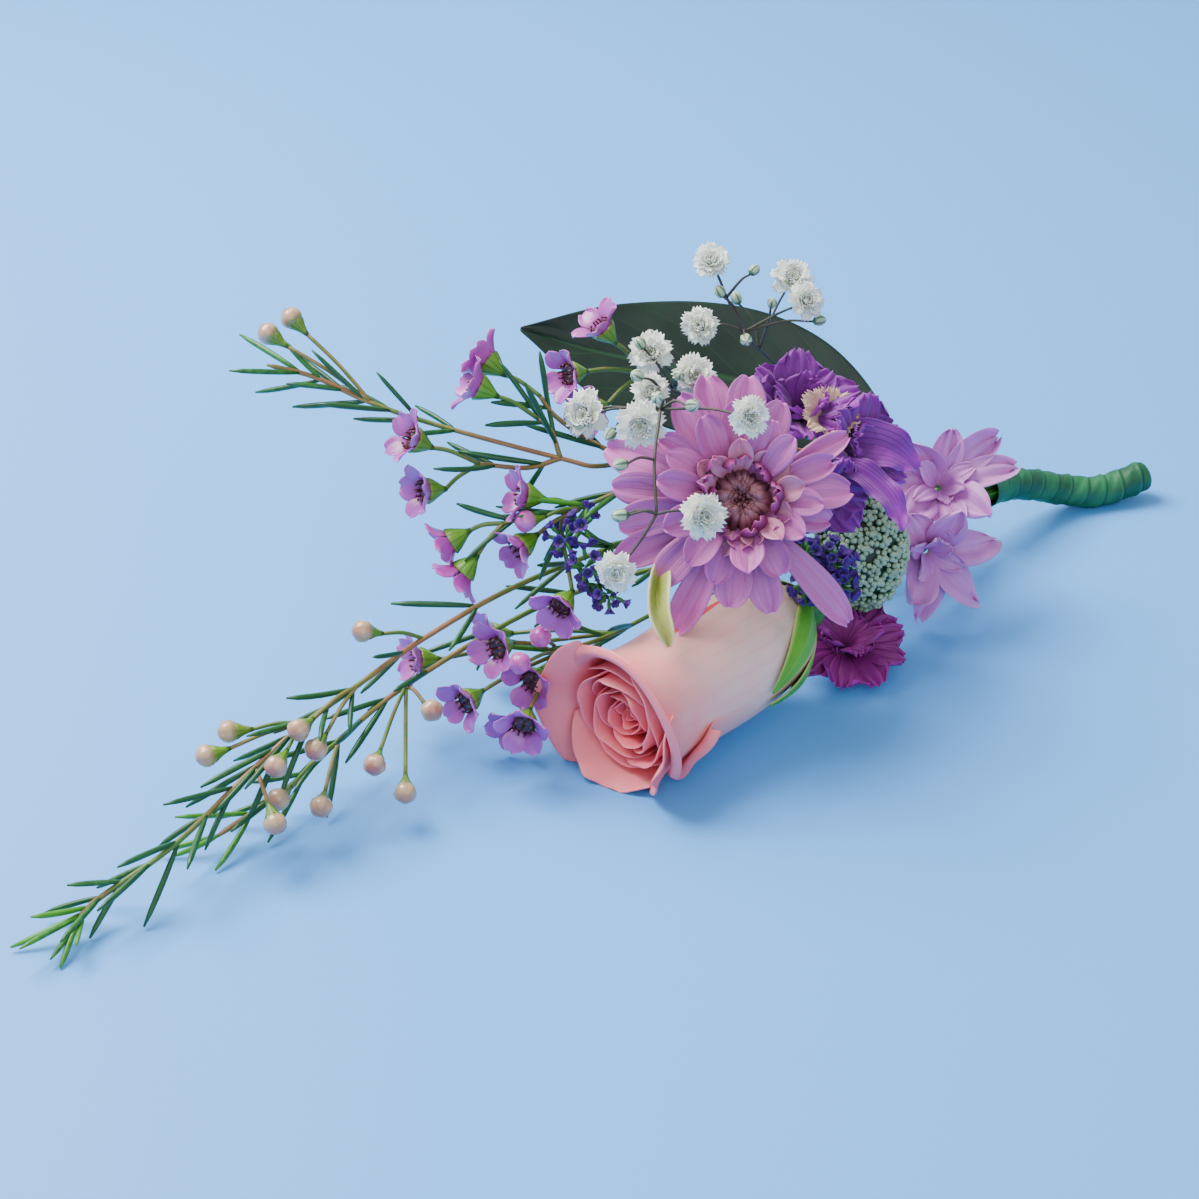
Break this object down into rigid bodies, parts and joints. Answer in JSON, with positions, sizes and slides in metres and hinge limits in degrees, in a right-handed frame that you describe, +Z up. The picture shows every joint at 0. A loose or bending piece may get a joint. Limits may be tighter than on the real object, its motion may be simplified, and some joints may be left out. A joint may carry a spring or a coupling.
{
  "type": "boutonniere",
  "caption": "Boutonniere of a pink rose bud, mauve spray chrysanthemum, waxflower, gypsophila and purple filler with a dark leaf, bound in green tape and lying flat.",
  "frame": {"origin": "middle of the footprint on the surface that the bunch lies on", "axes": "+X along the bunch towards the taped stem ends, +Z up, +Y towards the side of the large leaf"},
  "size_m": [0.3215, 0.1143, 0.0933],
  "materials": {
    "florist_tape": "waxed crepe paper tape, satin",
    "stem_green": "fresh green stem, satin",
    "rose_pink": "velvety petal, coral pink heart, pale pink outside",
    "rose_sepal_green": "smooth sepal, satin",
    "rose_cream": "cream and green guard petal",
    "mum_lilac": "grooved mauve pink ray, soft sheen",
    "mum_disc_maroon": "tight dark florets",
    "statice_purple": "papery ruffled petal",
    "statice_cream": "frilled cream middle",
    "larkspur_lilac": "thin pale lilac petal with green veins",
    "umbel_grey_green": "tiny matte buds",
    "violet_blue": "small violet blue florets",
    "magenta_petals": "ruffled velvety petal",
    "leaf_dark_green": "glossy waxy leaf",
    "gypsophila_white": "matte white petals",
    "gypsophila_stem": "thread stem, grey green",
    "waxflower_stem": "thin woody stem, brown and green",
    "waxflower_needle": "needle leaf, satin",
    "waxflower_pink": "waxy pink lilac petal",
    "waxflower_calyx": "ribbed green cone, satin",
    "waxflower_centre": "dark red glossy middle with stamens",
    "gypsophila_bud": "small striped bud, pale green",
    "waxflower_bud": "pearly bud, cream, pink and green"
  },
  "bodies": {
    "root": {"green_leaf": "leaf_dark_green", "gypsophila_front": "gypsophila_white", "gypsophila_side": "gypsophila_white", "gypsophila_top": "gypsophila_white", "larkspur_flower_1": "larkspur_lilac", "larkspur_flower_2": "larkspur_lilac", "larkspur_stem": "stem_green", "magenta_flower": "magenta_petals", "magenta_stem": "stem_green", "mum_disc": "mum_disc_maroon", "mum_inner_rays": "mum_lilac", "mum_middle_rays": "mum_lilac", "mum_outer_rays": "mum_lilac", "mum_stem": "stem_green", "rose_guard_petal": "rose_cream", "rose_heart": "rose_pink", "rose_inner_petal_1": "rose_pink", "rose_inner_petal_2": "rose_pink", "rose_inner_petal_3": "rose_pink", "rose_inner_petal_4": "rose_pink", "rose_inner_petal_5": "rose_pink", "rose_outer_petal_1": "rose_pink", "rose_outer_petal_2": "rose_pink", "rose_outer_petal_3": "rose_pink", "rose_outer_petal_4": "rose_pink", "rose_outer_petal_5": "rose_pink", "rose_sepal_1": "rose_sepal_green", "rose_sepal_2": "rose_sepal_green", "rose_sepal_3": "rose_sepal_green", "rose_sepal_4": "rose_sepal_green", "rose_sepal_5": "rose_sepal_green", "rose_stem": "stem_green", "statice_flower_1": "statice_purple", "statice_flower_2": "statice_purple", "statice_flower_3": "statice_purple", "statice_stem": "stem_green", "tape_wrap": "florist_tape", "umbel_head": "umbel_grey_green", "umbel_stem": "stem_green", "violet_sprig_left": "violet_blue", "violet_sprig_right": "violet_blue", "waxflower_back": "waxflower_stem", "waxflower_long": "waxflower_stem", "waxflower_low": "waxflower_stem", "waxflower_middle": "waxflower_stem", "waxflower_second": "waxflower_stem", "waxflower_upper": "waxflower_stem"}
  },
  "joints": []
}
